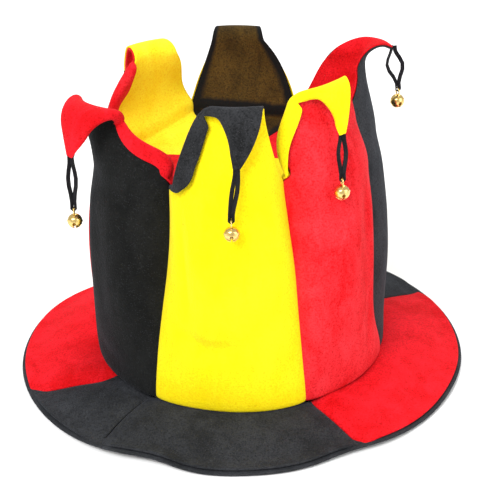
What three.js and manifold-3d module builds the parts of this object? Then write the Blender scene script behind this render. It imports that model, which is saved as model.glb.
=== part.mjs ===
import * as THREE from 'three';
import { mergeVertices } from 'three/addons/utils/BufferGeometryUtils.js';
import Module from 'manifold-3d';

// Jester hat of six sewn panels on a soft brim, standing on its brim.
// Millimetres, +Z up, origin on the table under the crown's axis, front at -Y.
// A panel's own frame is side (along its width), out (away from the axis) and up.

const wasm = await Module();
wasm.setup();

// Driving dimensions

const clearance = 0.3; // between two pieces that are sewn or laid together
const clothThickness = 1.35; // velour of the crown panels
const liningThickness = 1.2; // velour that faces the inside of each petal
const feltThickness = 1.9; // padded cloth of the brim, each of its two layers
const layerGap = 0.7; // between the brim's two layers

const crownRadius = 99; // panel cloth at the brim seam, from the axis
const crownRise = 145; // brim seam up to the valleys between the petals
const crownFoot = 14; // brim seam above the table
const capDepth = 9; // the inner cap lies this far below the valleys

const petalRise = 47; // valleys up to the line where a petal starts to fold
const creaseWidth = 33; // petal's width along its fold
const petalTipWidth = 4;
const flapLength = 43; // petal from its fold line to its tip
const foldRadius = 6; // middle of the cloth round the petal's fold
const lapelRadius = 2.1; // middle of the cloth round a rolled margin
const lapelWidth = 22; // widest strip of lining turned over beside a petal

const brimRadius = 151.2; // mean of the soft brim's edge
const brimStretch = 3.2; // more than that at the sides, and less at the front and back
const brimSeamInset = 4.5; // brim cloth that runs in under the crown's foot
const brimLand = 11; // flat outer rim that stands on the table
const brimEdgeStep = 1.2; // underside cloth that shows past the top cloth

const ribbonWidth = 2.8;
const ribbonThickness = 0.8;
const bellDiameter = 9;
const bellWall = 0.8;
const bellSlotWidth = 1.3;
const slotLength = 7.5; // of each of the two slots that cross under a bell
const bellLoopBore = 3.8; // inside diameter of the loop on a bell
const bellLoopWire = 0.9;

const panelCount = 6;
const frontAzimuth = -5.5; // middle of the front panel, degrees from -Y towards +X

// Seams between panel i - 1 and panel i: valley height as a share of crownRise and, up the
// crown, the seam's distance from the axis, as shares of crownRadius, and how far it
// swings round from its even place, in degrees.

const seamHeights = [0, 0.2, 0.42, 0.64, 0.84, 1];
const seams = [
  { name: 'front_left', valley: 1.01, radius: [1, 0.95, 0.87, 0.8, 0.775, 0.775],
    swing: [0, 0.14, 0.6, 1.4, 2.5, 3.5] },
  { name: 'front_right', valley: 1.032, radius: [1, 0.95, 0.905, 0.87, 0.805, 0.745],
    swing: [0, -0.1, -0.5, -1.1, -1.9, -2.7] },
  { name: 'right', valley: 1, radius: [1, 0.945, 0.885, 0.835, 0.785, 0.735],
    swing: [-6, -8, -9, -9, -8, -7] },
  { name: 'back_right', valley: 0.985, radius: [1, 0.95, 0.9, 0.85, 0.78, 0.72],
    swing: [0, 0, 0, 0, 0, 0] },
  { name: 'back_left', valley: 1.025, radius: [1, 0.95, 0.9, 0.85, 0.78, 0.715],
    swing: [0, 0, 0, 0, 0, 0] },
  { name: 'left', valley: 1, radius: [1, 0.96, 0.92, 0.88, 0.8, 0.73],
    swing: [0, 0, 0, 0, 0, 0] },
];

// How far the middle of a panel stands from the axis, as shares of crownRadius.
const bellyShares = [1, 1.02, 1.035, 1.035, 1.01, 0.965];

const colours = { black: '#1b1c20', yellow: '#f7e414', red: '#e0141e', brass: '#c9a24a' };

// One row for each panel, from the front round by the right. Side, out and up place
// the middle of the fold line: side and out as shares of crownRadius, up as a share
// of petalRise. Turn yaws the fold line and tilt raises its right end, in degrees, and
// bow draws both its ends in, as a share of creaseWidth.
// Radius and length multiply foldRadius and flapLength, curl is how far the flap turns
// over in degrees, and reach moves its tip along the fold as a share of creaseWidth.
// Bulges swell the flap's two edges, as shares of creaseWidth.
// Shoulders say how sharply each edge draws in below the fold, and leans how far it
// leans out above the valley. Margins are the rolled edges: their widths up the petal,
// as shares of lapelWidth, negative where an edge rolls inwards.

const marginHeights = [0, 0.1, 0.3, 0.5, 0.75, 1];

const panels = [
  { name: 'front', outer: 'yellow', inner: 'black',
    side: 0.08, out: 0.79, up: 1.06, turn: 0, tilt: 1, bow: 0.06,
    radius: 1, curl: 164, length: 1, reach: 0.03, bulges: [-0.08, 0.15],
    shoulders: [1, 0.15], leans: [0.8, 0.8],
    margins: [[0, 0.4, 0.8, 0.7, 0.5, 0], null] },
  { name: 'front_right', outer: 'red', inner: 'yellow',
    side: -0.125, out: 0.755, up: 1.12, turn: 33, tilt: 10, bow: 0.08,
    radius: 1, curl: 168, length: 0.9, reach: 0.02, bulges: [-0.06, 0.07],
    shoulders: [1.1, 0.5], leans: [-1, 0.8],
    margins: [[0, 0.15, 0.38, 0.48, 0.5, 0.3], null] },
  { name: 'back_right', outer: 'black', inner: 'red',
    side: -0.07, out: 0.85, up: 0.9, turn: 2, tilt: 0, bow: 0.3,
    radius: 1.85, curl: 108, length: 0.82, reach: -0.05, bulges: [0, 0],
    shoulders: [0.5, 0.5], leans: [0.8, 0.8],
    margins: [null, null] },
  { name: 'back', outer: 'yellow', inner: 'black',
    side: 0.055, out: 0.78, up: 0.9, turn: 0, tilt: 0, bow: 0.08,
    radius: 1, curl: 168, length: 1, reach: 0, bulges: [0.05, 0.05],
    shoulders: [0.5, 0.3], leans: [0.8, 0.8],
    margins: [null, null] },
  { name: 'back_left', outer: 'red', inner: 'yellow',
    side: 0.02, out: 0.63, up: 1, turn: 14, tilt: 4, bow: 0.08,
    radius: 1.15, curl: 148, length: 0.94, reach: 0.1, bulges: [0.05, 0.05],
    shoulders: [0.7, 0.9], leans: [0.8, 0.8],
    margins: [null, [0, -0.2, -0.42, -0.5, -0.42, 0]] },
  { name: 'front_left', outer: 'black', inner: 'red',
    side: -0.07, out: 0.94, up: 0.76, turn: -24, tilt: -3, bow: 0.2,
    radius: 2, curl: 176, length: 1.28, reach: 0.18, bulges: [0.05, 0.05],
    shoulders: [0.3, 2], leans: [0.8, -1.6],
    margins: [null, [0, 0.3, 0.48, 0.5, 0.5, 0.4]] },
];

// Small vector helpers

const vec = (x, y, z) => new THREE.Vector3(x, y, z);
const mix = (a, b, t) => a + (b - a) * t;
const mixVec = (a, b, t) => a.clone().lerp(b, t);
const radians = (degrees) => THREE.MathUtils.degToRad(degrees);

function tableAt(places, values, place) {
  const last = places.length - 1;
  let row = 0;
  while (row < last - 1 && place > places[row + 1]) row += 1;
  const share = (place - places[row]) / (places[row + 1] - places[row]);
  const before = values[Math.max(row - 1, 0)];
  const after = values[Math.min(row + 2, last)];
  const [from, to] = [values[row], values[row + 1]];
  const slopeFrom = (to - before) / 2;
  const slopeTo = (after - from) / 2;
  const s2 = share * share;
  const s3 = s2 * share;
  return from * (2 * s3 - 3 * s2 + 1) + slopeFrom * (s3 - 2 * s2 + share)
    + to * (3 * s2 - 2 * s3) + slopeTo * (s3 - s2);
}

function hermite(p0, t0, p1, t1, s) {
  const s2 = s * s;
  const s3 = s2 * s;
  return p0.clone().multiplyScalar(2 * s3 - 3 * s2 + 1)
    .addScaledVector(t0, s3 - 2 * s2 + s)
    .addScaledVector(p1, 3 * s2 - 2 * s3)
    .addScaledVector(t1, s3 - s2);
}

// A point on the circle through left, middle and right, for u from -1 to 1.
function arcThrough(left, middle, right, u) {
  const [ax, ay] = [middle.x - left.x, middle.y - left.y];
  const [bx, by] = [right.x - left.x, right.y - left.y];
  const scale = 2 * (ax * by - ay * bx);
  const a2 = ax * ax + ay * ay;
  const b2 = bx * bx + by * by;
  const centre = {
    x: left.x + (by * a2 - ay * b2) / scale,
    y: left.y + (ax * b2 - bx * a2) / scale,
  };
  const radius = Math.hypot(left.x - centre.x, left.y - centre.y);
  const angle = (p) => Math.atan2(p.x - centre.x, p.y - centre.y);
  const [from, mid, to] = [angle(left), angle(middle), angle(right)];
  const at = u < 0 ? mix(mid, from, -u) : mix(mid, to, u);
  return { x: centre.x + radius * Math.sin(at), y: centre.y + radius * Math.cos(at) };
}

// Crown and petals, in a panel's own frame: x is side, y is out, z is up

const halfPanel = Math.PI / panelCount;
const seamSides = (index) => [seams[index], seams[(index + 1) % panelCount]];
const valleyHeight = (seam) => crownFoot + crownRise * seam.valley;

function wallPoint(index, u, v) {
  const [leftSeam, rightSeam] = seamSides(index);
  const leftRadius = crownRadius * tableAt(seamHeights, leftSeam.radius, v);
  const rightRadius = crownRadius * tableAt(seamHeights, rightSeam.radius, v);
  const belly = crownRadius * tableAt(seamHeights, bellyShares, v);
  const leftTurn = radians(tableAt(seamHeights, leftSeam.swing, v)) - halfPanel;
  const rightTurn = radians(tableAt(seamHeights, rightSeam.swing, v)) + halfPanel;
  const left = { x: leftRadius * Math.sin(leftTurn), y: leftRadius * Math.cos(leftTurn) };
  const right = { x: rightRadius * Math.sin(rightTurn), y: rightRadius * Math.cos(rightTurn) };
  const place = arcThrough(left, { x: 0, y: belly }, right, u);
  const top = mix(valleyHeight(leftSeam), valleyHeight(rightSeam), (u + 1) / 2);
  return vec(place.x, place.y, mix(crownFoot, top, v));
}

function foldFrame(row) {
  const yaw = radians(row.turn);
  const tilt = radians(row.tilt);
  const level = vec(Math.cos(yaw), Math.sin(yaw), 0);
  const out = vec(-Math.sin(yaw), Math.cos(yaw), 0);
  const along = level.clone().multiplyScalar(Math.cos(tilt)).setZ(Math.sin(tilt));
  const up = level.multiplyScalar(-Math.sin(tilt)).setZ(Math.cos(tilt));
  const middle = vec(row.side * crownRadius, row.out * crownRadius,
    crownFoot + crownRise + petalRise * row.up);
  return { along, out, up, middle };
}

function foldLine(row, u) {
  const { along, out, middle } = foldFrame(row);
  return middle.clone()
    .addScaledVector(along, u * creaseWidth / 2)
    .addScaledVector(out, -row.bow * creaseWidth * u * u);
}

// Petal between its valleys and its fold line. Its edges lean out or in above the valleys,
// and the lining spans straight from valley to valley where the outer cloth bellies out.
const edgeDraw = 0.3;
const facingLean = 0.85;
const rollPull = 0.18; // share of a petal's width that a rolled edge takes up above its valley

function risePoint(row, start, middleLean, u, v) {
  const lean = mix(middleLean, row.leans[u < 0 ? 0 : 1], u * u);
  const startUp = vec(-edgeDraw * u ** 3, lean, 1).multiplyScalar(petalRise);
  const shoulder = row.shoulders[u < 0 ? 0 : 1];
  const endUp = vec(-shoulder * u * Math.abs(u), 0, 1).multiplyScalar(petalRise);
  return hermite(start, startUp, foldLine(row, u), endUp, v);
}

function pulledIn(row, u, v) {
  if (!row.margins[u < 0 ? 0 : 1]) return u;
  return u * (1 - rollPull * (1 - v) * THREE.MathUtils.clamp(v / marginHeights[1], 0, 1));
}

const petalAt = (index, u, v) => risePoint(panels[index], wallPoint(index, u, 1), 0, u, v);
const petalPoint = (index, u, v) => petalAt(index, pulledIn(panels[index], u, v), v);

function facingPoint(index, across, v) {
  const u = pulledIn(panels[index], across, v);
  const start = mixVec(wallPoint(index, -1, 1), wallPoint(index, 1, 1), (u + 1) / 2);
  return risePoint(panels[index], start, facingLean, u, v);
}

// A gore of the inner cap, from its middle out to where it meets the facing.
function gorePoint(index, u, v) {
  const rim = facingPoint(index, u, 0);
  const lowest = Math.min(...seams.map(valleyHeight));
  return mixVec(vec(0, 0, lowest), rim, v).add(vec(0, 0, -capDepth));
}

// Cloth that runs a distance past an edge and rolls over it.
function rolled(edge, away, over, radius, curl, distance) {
  const turned = Math.min(distance / radius, curl);
  const rest = Math.max(0, distance - radius * curl);
  return edge.clone()
    .addScaledVector(away, radius * Math.sin(turned) + rest * Math.cos(curl))
    .addScaledVector(over, radius * (1 - Math.cos(turned)) + rest * Math.sin(curl));
}

function flapPoint(row, u, distance) {
  const { along, out, up, middle } = foldFrame(row);
  const length = flapLength * row.length;
  const share = distance / length;
  const swell = 4 * row.bulges[u < 0 ? 0 : 1] * creaseWidth * share * (1 - share);
  const half = mix(creaseWidth, petalTipWidth, share) / 2 + swell;
  const place = u * half + row.reach * creaseWidth * share;
  const drawnIn = row.bow * creaseWidth * u * u * (1 - share);
  const edge = middle.clone().addScaledVector(along, place).addScaledVector(out, -drawnIn);
  return rolled(edge, up, out, foldRadius * row.radius, radians(row.curl), distance);
}

const flapRows = (row) => {
  const turned = foldRadius * row.radius * radians(row.curl);
  const length = flapLength * row.length;
  const bend = Math.min(turned, length * 0.9);
  return [0.25, 0.5, 0.75, 1].map((share) => share * bend).concat([mix(bend, length, 0.5), length]);
};

const marginFractions = [0.17, 0.34, 0.52, 1];
const marginCurl = radians(184);
const edgeTuck = 0.8;

function marginPoint(index, side, v, share, fraction) {
  const step = 0.01;
  const u = pulledIn(panels[index], side, v);
  const here = petalAt(index, u, v);
  const inner = petalAt(index, u * (1 - step), v);
  const up = petalAt(index, u, v + step).sub(petalAt(index, u, v - step)).normalize();
  const away = here.clone().sub(inner);
  away.addScaledVector(up, -away.dot(up)).normalize();
  const over = vec(0, 0, 0).crossVectors(up, away).multiplyScalar(side * Math.sign(share));
  return rolled(here, away, over, lapelRadius, marginCurl, lapelWidth * Math.abs(share) * fraction);
}

// A sheet is built as rows of points. Each point may hold the way its thickness goes.

class Sheet {
  constructor() {
    this.points = [];
    this.ways = new Map();
    this.faces = [];
  }

  add(point, way = null) {
    this.points.push(point);
    if (way) this.ways.set(this.points.length - 1, way);
    return this.points.length - 1;
  }

  quad(a, b, c, d) {
    [[a, b, c], [a, c, d]].forEach((face) => {
      if (new Set(face).size === 3) this.faces.push(face);
    });
  }

  join(lower, upper) {
    for (let i = 0; i + 1 < lower.length; i += 1) {
      this.quad(lower[i], lower[i + 1], upper[i + 1], upper[i]);
    }
  }

  normals() {
    const sums = this.points.map(() => vec(0, 0, 0));
    this.faces.forEach(([a, b, c]) => {
      const [pa, pb, pc] = [this.points[a], this.points[b], this.points[c]];
      const normal = pb.clone().sub(pa).cross(pc.clone().sub(pa));
      [a, b, c].forEach((i) => sums[i].add(normal));
    });
    return sums.map((sum) => sum.normalize());
  }

  border() {
    const inner = new Set();
    this.faces.forEach(([a, b, c]) => [[a, b], [b, c], [c, a]].forEach(([i, j]) => inner.add(`${i},${j}`)));
    return [...inner].map((key) => key.split(',').map(Number)).filter(([i, j]) => !inner.has(`${j},${i}`));
  }

  // The closed solid between two offsets from the sheet along its outward normals.
  thicken(from, to) {
    const normals = this.normals();
    const layer = (offset) => this.points.map((point, i) => {
      const way = this.ways.get(i);
      if (!way) return point.clone().addScaledVector(normals[i], offset);
      return point.clone().addScaledVector(way, offset / Math.max(0.35, way.dot(normals[i])));
    });
    const all = [...layer(to), ...layer(from)];
    const count = this.points.length;
    const faces = [...this.faces];
    this.faces.forEach(([a, b, c]) => faces.push([a + count, c + count, b + count]));
    this.border().forEach(([a, b]) => {
      faces.push([b, a, a + count], [b, a + count, b + count]);
    });
    return solidGeometry(all, faces);
  }
}

function solidGeometry(points, faces) {
  const geometry = new THREE.BufferGeometry();
  geometry.setFromPoints(points);
  geometry.setIndex(faces.flat());
  return geometry;
}

// Crown panels and linings

const columns = 8;
const wallRows = [0, 0.22, 0.44, 0.66, 0.85, 1];
const petalRows = [0.1, 0.28, 0.5, 0.75, 1];
const goreRows = [0.012, 0.5];

const columnPlaces = Array.from({ length: columns + 1 }, (_, i) => -1 + (2 * i) / columns);

function seamWay(u) {
  if (Math.abs(u) < 1) return null;
  return vec(Math.sin(halfPanel) * u, Math.cos(halfPanel), 0);
}

function rimWay(u) {
  const way = seamWay(u);
  return way && way.add(vec(0, 0, -1)).normalize();
}

// Half of the sewn gap, taken off the panel's own side of a seam.
function offSeam(point, u) {
  if (Math.abs(u) < 1) return point;
  const shift = clearance / 2;
  return point.add(vec(-u * shift * Math.cos(halfPanel), shift * Math.sin(halfPanel), 0));
}

const rollSign = (shares) => (shares ? Math.sign(Math.max(...shares) + Math.min(...shares)) : 0);

// Rolled edges: outwards they are the lining's, inwards the outer cloth's.
function addMargins(sheet, index, rows, places, sign) {
  panels[index].margins.forEach((shares, end) => {
    if (rollSign(shares) !== sign) return;
    const side = end ? 1 : -1;
    const column = end ? columns : 0;
    let lower = null;
    rows.forEach((row, i) => {
      const v = places[i];
      const edge = row[column];
      const share = tableAt(marginHeights, shares, v);
      const strip = marginFractions.map((fraction) => (share === 0 ? edge
        : sheet.add(marginPoint(index, side, v, share, fraction))));
      const ends = [edge, ...strip];
      if (side < 0) ends.reverse();
      if (lower) sheet.join(lower, ends);
      lower = ends;
    });
  });
}

// The layer inside a rolled edge stops short of it, on the facet next to the edge.
function tucked(pointAt, index, u, tuck, sign) {
  const rolls = rollSign(panels[index].margins[u < 0 ? 0 : 1]) === -sign;
  if (!rolls || Math.abs(u) < 1) return pointAt(u);
  return pointAt(u).lerp(pointAt(u * (1 - 2 / columns)), tuck);
}

function addPetal(sheet, surface, index, lowest, sign) {
  const row = panels[index];
  const rows = [lowest];
  petalRows.forEach((v) => {
    const pointAt = (u) => surface(index, u, v);
    rows.push(columnPlaces.map((u) => sheet.add(tucked(pointAt, index, u, edgeTuck, sign))));
  });
  const petal = [...rows];
  flapRows(row).forEach((distance) => {
    const tuck = edgeTuck * (1 - distance / (flapLength * row.length));
    const pointAt = (u) => flapPoint(row, u, distance);
    rows.push(columnPlaces.map((u) => sheet.add(tucked(pointAt, index, u, tuck, sign))));
  });
  for (let i = 1; i < rows.length; i += 1) sheet.join(rows[i - 1], rows[i]);
  addMargins(sheet, index, petal, [0, ...petalRows], sign);
}

function panelSheet(index) {
  const sheet = new Sheet();
  const rows = wallRows.map((v) => columnPlaces.map(
    (u) => sheet.add(offSeam(wallPoint(index, u, v), u), seamWay(u)),
  ));
  for (let i = 1; i < rows.length; i += 1) sheet.join(rows[i - 1], rows[i]);
  addPetal(sheet, petalPoint, index, rows[rows.length - 1], -1);
  return sheet;
}

function liningSheet(index) {
  const sheet = new Sheet();
  const rows = [...goreRows, 1].map((v) => columnPlaces.map((u) => {
    const way = v === 1 ? rimWay(u) : vec(0, 0, -1);
    return sheet.add(offSeam(gorePoint(index, u, v), u), way);
  }));
  rows.push(columnPlaces.map((u) => sheet.add(offSeam(facingPoint(index, u, 0), u), seamWay(u))));
  for (let i = 1; i < rows.length; i += 1) sheet.join(rows[i - 1], rows[i]);
  addPetal(sheet, facingPoint, index, rows[rows.length - 1], 1);
  return sheet;
}

// Brim

// Where the brim's edge lifts off the table, by azimuth in degrees.
const brimLifts = [
  { azimuth: -31, spread: 13, height: 4 },
  { azimuth: 32, spread: 16, height: 3 },
  { azimuth: 68, spread: 12, height: 2 },
];

// Cloth pieces of the brim's top, from azimuth to azimuth at the crown and at the edge.
const brimPieces = [
  { name: 'brim_top_front_black', colour: 'black', inner: [-40, 27], outer: [-39, 31] },
  { name: 'brim_top_right_red', colour: 'red', inner: [27, 122], outer: [31, 124] },
  { name: 'brim_top_back_black', colour: 'black', inner: [122, 199], outer: [124, 199] },
  { name: 'brim_top_left_red', colour: 'red', inner: [199, 302], outer: [199, 289] },
  { name: 'brim_top_left_black', colour: 'black', inner: [302, 320], outer: [289, 321] },
];

const brimInner = crownRadius - brimSeamInset;
const brimHeight = crownFoot - clearance; // top cloth under the crown's foot
const brimFall = 1.35; // how the brim steepens towards its edge

function brimLift(azimuth) {
  return brimLifts.reduce((sum, row) => {
    const away = THREE.MathUtils.euclideanModulo(azimuth - row.azimuth + 180, 360) - 180;
    return sum + row.height * Math.exp(-((away / row.spread) ** 2));
  }, 0);
}

// Height of the brim's underside at a distance from the axis.
function brimUnder(radius, azimuth) {
  const landStart = brimEdge(azimuth) - brimLand;
  const inner = brimHeight - 2 * feltThickness - layerGap;
  const share = THREE.MathUtils.clamp((landStart - radius) / (landStart - brimInner), 0, 1);
  const edge = THREE.MathUtils.clamp((radius - brimInner) / (brimEdge(azimuth) - brimInner), 0, 1);
  const lift = brimLift(azimuth);
  return inner * (1 - (1 - share) ** brimFall) + (lift > 0.2 ? lift * edge ** 2 : 0);
}

function brimEdge(azimuth) {
  return brimRadius - brimStretch * Math.cos(2 * radians(azimuth));
}

function ringPoint(radius, azimuth, height) {
  return vec(radius * Math.sin(radians(azimuth)), -radius * Math.cos(radians(azimuth)), height);
}

const brimRings = [0, 0.3, 0.58, 0.81, 0.93, 1];

function brimSheet(azimuths, inset, base) {
  const sheet = new Sheet();
  const rows = brimRings.map((share) => azimuths.map(([inner, outer]) => {
    const azimuth = mix(inner, outer, share);
    const radius = mix(brimInner, brimEdge(azimuth) - inset, share);
    return sheet.add(ringPoint(radius, azimuth, brimUnder(radius, azimuth) + base), vec(0, 0, 1));
  }));
  return { sheet, rows };
}

const brimSteps = 34;

function undersideSolid() {
  const azimuths = Array.from({ length: brimSteps }, (_, i) => [(360 * i) / brimSteps, (360 * i) / brimSteps]);
  const { sheet, rows } = brimSheet(azimuths, 0, 0);
  rows.forEach((row) => row.push(row[0]));
  for (let i = 1; i < rows.length; i += 1) sheet.join(rows[i], rows[i - 1]);
  return sheet.thicken(0, feltThickness);
}

function brimTopSolid(piece) {
  const gap = THREE.MathUtils.radToDeg(clearance / 2 / brimInner);
  const steps = Math.round(Math.abs(piece.inner[1] - piece.inner[0]) / 9) + 1;
  const azimuths = Array.from({ length: steps + 1 }, (_, i) => [
    mix(piece.inner[0] + gap, piece.inner[1] - gap, i / steps),
    mix(piece.outer[0] + gap, piece.outer[1] - gap, i / steps),
  ]);
  const base = feltThickness + layerGap;
  const { sheet, rows } = brimSheet(azimuths, brimEdgeStep, base);
  for (let i = 1; i < rows.length; i += 1) sheet.join(rows[i], rows[i - 1]);
  return sheet.thicken(0, feltThickness);
}

// A closed solid through rings of points, one for each place on a path.
function sweptSolid(rings) {
  const sides = rings[0].length;
  const last = (rings.length - 1) * sides;
  const faces = [];
  for (let start = 0; start < last; start += sides) {
    for (let j = 0; j < sides; j += 1) {
      const [a, b] = [start + j, start + (j + 1) % sides];
      faces.push([a, b, b + sides], [a, b + sides, a + sides]);
    }
  }
  for (let j = 1; j + 1 < sides; j += 1) {
    faces.push([0, j + 1, j], [last, last + j, last + j + 1]);
  }
  return solidGeometry(rings.flat(), faces);
}

// Ribbon loops and bells. A loop hangs from a petal's tip, in a frame of its own:
// x across the loop's plane, y along it, z up, from the tip. Azimuth is the way of y.
// Drop is from the tip to the middle of the bell, open the widest space between the
// strands, and x and y say where the bell hangs from the tip. Lead moves the strands'
// upper ends along y.

const loops = [
  { drop: 37.4, open: 4, azimuth: 0, x: 8.4, y: -4, lead: 0 },
  { drop: 33, open: 7, azimuth: 10, x: 10.5, y: -1, lead: 0 },
  { drop: 38, open: 11, azimuth: 20, x: 0, y: 4, lead: 1.5 },
  { drop: 41, open: 5, azimuth: 175, x: 11.5, y: 0, lead: 0 },
  { drop: 41, open: 5, azimuth: 235, x: 17.5, y: 0, lead: 0 },
  { drop: 43.5, open: 5, azimuth: 0, x: 0, y: -2.4, lead: 0 },
];
const bellSegments = 10;
const ringSegments = 8;
const ribbonSides = 6;
const bendHeights = [1, 0.3, 0]; // a strand's way round the bell's loop, as shares of its bend
const bendWidths = [1, 0.7, 0];
const ribbonBend = 1.25;
const ribbonSeat = 0.2; // ribbon's middle above the middle of the bell's loop

const loopMiddle = bellDiameter / 2 + bellLoopBore / 2 + bellLoopWire * 0.45; // above the bell's own

function ribbonPath(loop, start) {
  const ring = vec(loop.x, loop.y, loopMiddle + ribbonSeat - loop.drop);
  const strand = [0.02, 0.15, 0.4, 0.7].map((share) => {
    const apart = mix(start, loop.open / 2, Math.sin(Math.PI * Math.min(1, share * 1.15)) ** 2);
    const way = share * share * (3 - 2 * share);
    return { apart, x: ring.x * way, y: mix(loop.lead, ring.y, way), z: mix(0, ring.z + ribbonBend, share) };
  });
  const bend = bendHeights.map((height, i) => (
    { apart: ribbonBend * bendWidths[i], x: ring.x, y: ring.y, z: ring.z + height * ribbonBend }));
  const down = [...strand, ...bend].map((p) => vec(p.x, p.y - p.apart, p.z));
  const up = [...strand, ...bend.slice(0, -1)].map((p) => vec(p.x, p.y + p.apart, p.z));
  return [...down, ...up.reverse()];
}

function ribbonGeometry(loop) {
  const path = ribbonPath(loop, ribbonThickness * 1.1);
  const rings = path.map((point, i) => {
    const before = path[Math.max(i - 1, 0)];
    const after = path[Math.min(i + 1, path.length - 1)];
    const flat = after.clone().sub(before).cross(vec(1, 0, 0)).normalize();
    return Array.from({ length: ribbonSides }, (_, side) => {
      const angle = (2 * Math.PI * side) / ribbonSides;
      return point.clone()
        .add(vec(Math.cos(angle) * ribbonWidth / 2, 0, 0))
        .addScaledVector(flat, Math.sin(angle) * ribbonThickness / 2);
    });
  });
  return sweptSolid(rings);
}

const solidOf = (geometry) => {
  geometry.deleteAttribute('normal');
  geometry.deleteAttribute('uv');
  const merged = mergeVertices(geometry, 1e-4);
  return new wasm.Manifold(new wasm.Mesh({
    numProp: 3,
    vertProperties: Float32Array.from(merged.attributes.position.array),
    triVerts: Uint32Array.from(merged.index.array),
  }));
};

function bellGeometry(loop) {
  const radius = bellDiameter / 2;
  const [ringInner, ringOuter] = [bellLoopBore / 2, bellLoopBore / 2 + bellLoopWire];
  const ringSide = bellLoopWire / 2;
  const ringProfile = [
    [ringInner, -ringSide], [ringOuter, -ringSide], [ringOuter, ringSide], [ringInner, ringSide],
    [ringInner, -ringSide],
  ].map(([x, y]) => new THREE.Vector2(x, y));
  const ring = new THREE.LatheGeometry(ringProfile, ringSegments).translate(0, 0, loopMiddle);
  const slot = new THREE.BoxGeometry(bellSlotWidth, slotLength, radius).translate(0, 0, -radius);
  const crossSlot = slot.clone().rotateZ(Math.PI / 2);
  const ball = solidOf(new THREE.SphereGeometry(radius, bellSegments, bellSegments / 2));
  const hollow = new THREE.SphereGeometry(radius - bellWall, bellSegments - 2, bellSegments / 2 - 1);
  const bell = ball.add(solidOf(ring))
    .subtract(solidOf(hollow))
    .subtract(solidOf(slot))
    .subtract(solidOf(crossSlot));
  const { vertProperties, triVerts } = bell.getMesh();
  const geometry = new THREE.BufferGeometry();
  geometry.setAttribute('position', new THREE.BufferAttribute(vertProperties, 3));
  geometry.setIndex([...triVerts]);
  return geometry.translate(loop.x, loop.y, -loop.drop);
}

function loopMatrix(index) {
  const row = panels[index];
  const tip = flapPoint(row, 0, flapLength * row.length + clearance).applyMatrix4(panelMatrix(index));
  const azimuth = radians(loops[index].azimuth);
  const along = vec(Math.cos(azimuth), Math.sin(azimuth), 0);
  const up = vec(0, 0, 1);
  return new THREE.Matrix4().makeBasis(along.clone().cross(up), along, up).setPosition(tip);
}

function panelMatrix(index) {
  const azimuth = radians(frontAzimuth + (360 / panelCount) * index);
  const side = vec(Math.cos(azimuth), Math.sin(azimuth), 0);
  const out = vec(Math.sin(azimuth), -Math.cos(azimuth), 0);
  return new THREE.Matrix4().makeBasis(side, out, vec(0, 0, 1));
}

// A panel's own frame is left-handed, so its faces are turned over with it.
function panelGeometry(sheet, index, from, to) {
  const matrix = panelMatrix(index);
  sheet.points.forEach((point) => point.applyMatrix4(matrix));
  sheet.ways.forEach((way) => way.applyMatrix4(matrix));
  return sheet.thicken(from, to);
}

const finishes = {
  cloth: { roughness: 0.9, metalness: 0 },
  ribbon: { roughness: 0.45, metalness: 0 },
  brass: { roughness: 0.25, metalness: 1 },
};

function meshOf(name, geometry, colour, finish) {
  const material = new THREE.MeshStandardMaterial({ color: colours[colour], ...finishes[finish] });
  const mesh = new THREE.Mesh(geometry, material);
  mesh.name = name;
  return mesh;
}

const hat = new THREE.Group();
const half = clearance / 2;

panels.forEach((row, index) => {
  const outer = panelGeometry(panelSheet(index), index, half, half + clothThickness);
  const inner = panelGeometry(liningSheet(index), index, -half - liningThickness, -half);
  const ribbon = ribbonGeometry(loops[index]).applyMatrix4(loopMatrix(index));
  const bell = bellGeometry(loops[index]).applyMatrix4(loopMatrix(index));
  hat.add(meshOf(`crown_panel_${row.name}`, outer, row.outer, 'cloth'));
  hat.add(meshOf(`petal_lining_${row.name}`, inner, row.inner, 'cloth'));
  hat.add(meshOf(`ribbon_loop_${row.name}`, ribbon, 'black', 'ribbon'));
  hat.add(meshOf(`bell_${row.name}`, bell, 'brass', 'brass'));
});
brimPieces.forEach((piece) => hat.add(meshOf(piece.name, brimTopSolid(piece), piece.colour, 'cloth')));
hat.add(meshOf('brim_underside', undersideSolid(), 'black', 'cloth'));

export default hat;
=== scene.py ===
import math

import bmesh
import bpy
from mathutils import Matrix, Vector, noise


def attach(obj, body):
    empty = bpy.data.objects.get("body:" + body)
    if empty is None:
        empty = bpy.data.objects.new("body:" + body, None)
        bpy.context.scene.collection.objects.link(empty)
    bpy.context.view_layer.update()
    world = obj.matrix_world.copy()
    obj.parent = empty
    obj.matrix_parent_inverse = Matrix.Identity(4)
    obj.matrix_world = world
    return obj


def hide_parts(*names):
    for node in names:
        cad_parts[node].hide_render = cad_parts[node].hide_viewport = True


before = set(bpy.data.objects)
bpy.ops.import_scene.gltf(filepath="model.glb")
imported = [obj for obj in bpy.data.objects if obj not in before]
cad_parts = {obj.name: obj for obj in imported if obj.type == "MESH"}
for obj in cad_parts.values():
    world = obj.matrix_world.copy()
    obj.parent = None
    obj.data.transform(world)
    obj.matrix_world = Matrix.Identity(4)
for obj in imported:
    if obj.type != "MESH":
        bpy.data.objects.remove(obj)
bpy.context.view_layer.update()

# Lengths are metres. A panel's own frame is side (along its width), out (away from
# the axis) and up. u runs from -1 at a panel's left seam to 1 at its right one.

camera = {
    "place": (0, -0.8434, 0.5373),
    "aim": (0.0018, 0, 0.079),
    "roll": -1.54,
    "focalPixels": 1406,
    "imageWidth": 483,
}

hat = {
    "panels": 6,
    "frontAzimuth": -5.5,
    "radius": 0.099,
    "rise": 0.145,
    "foot": 0.014,
    "capDepth": 0.009,
    "cloth": 0.00135,
    "lining": 0.0012,
    "gap": 0.0003,
    "heights": (0, 0.2, 0.42, 0.64, 0.84, 1),
    "belly": (1, 1.02, 1.035, 1.035, 1.01, 0.965),
}

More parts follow.
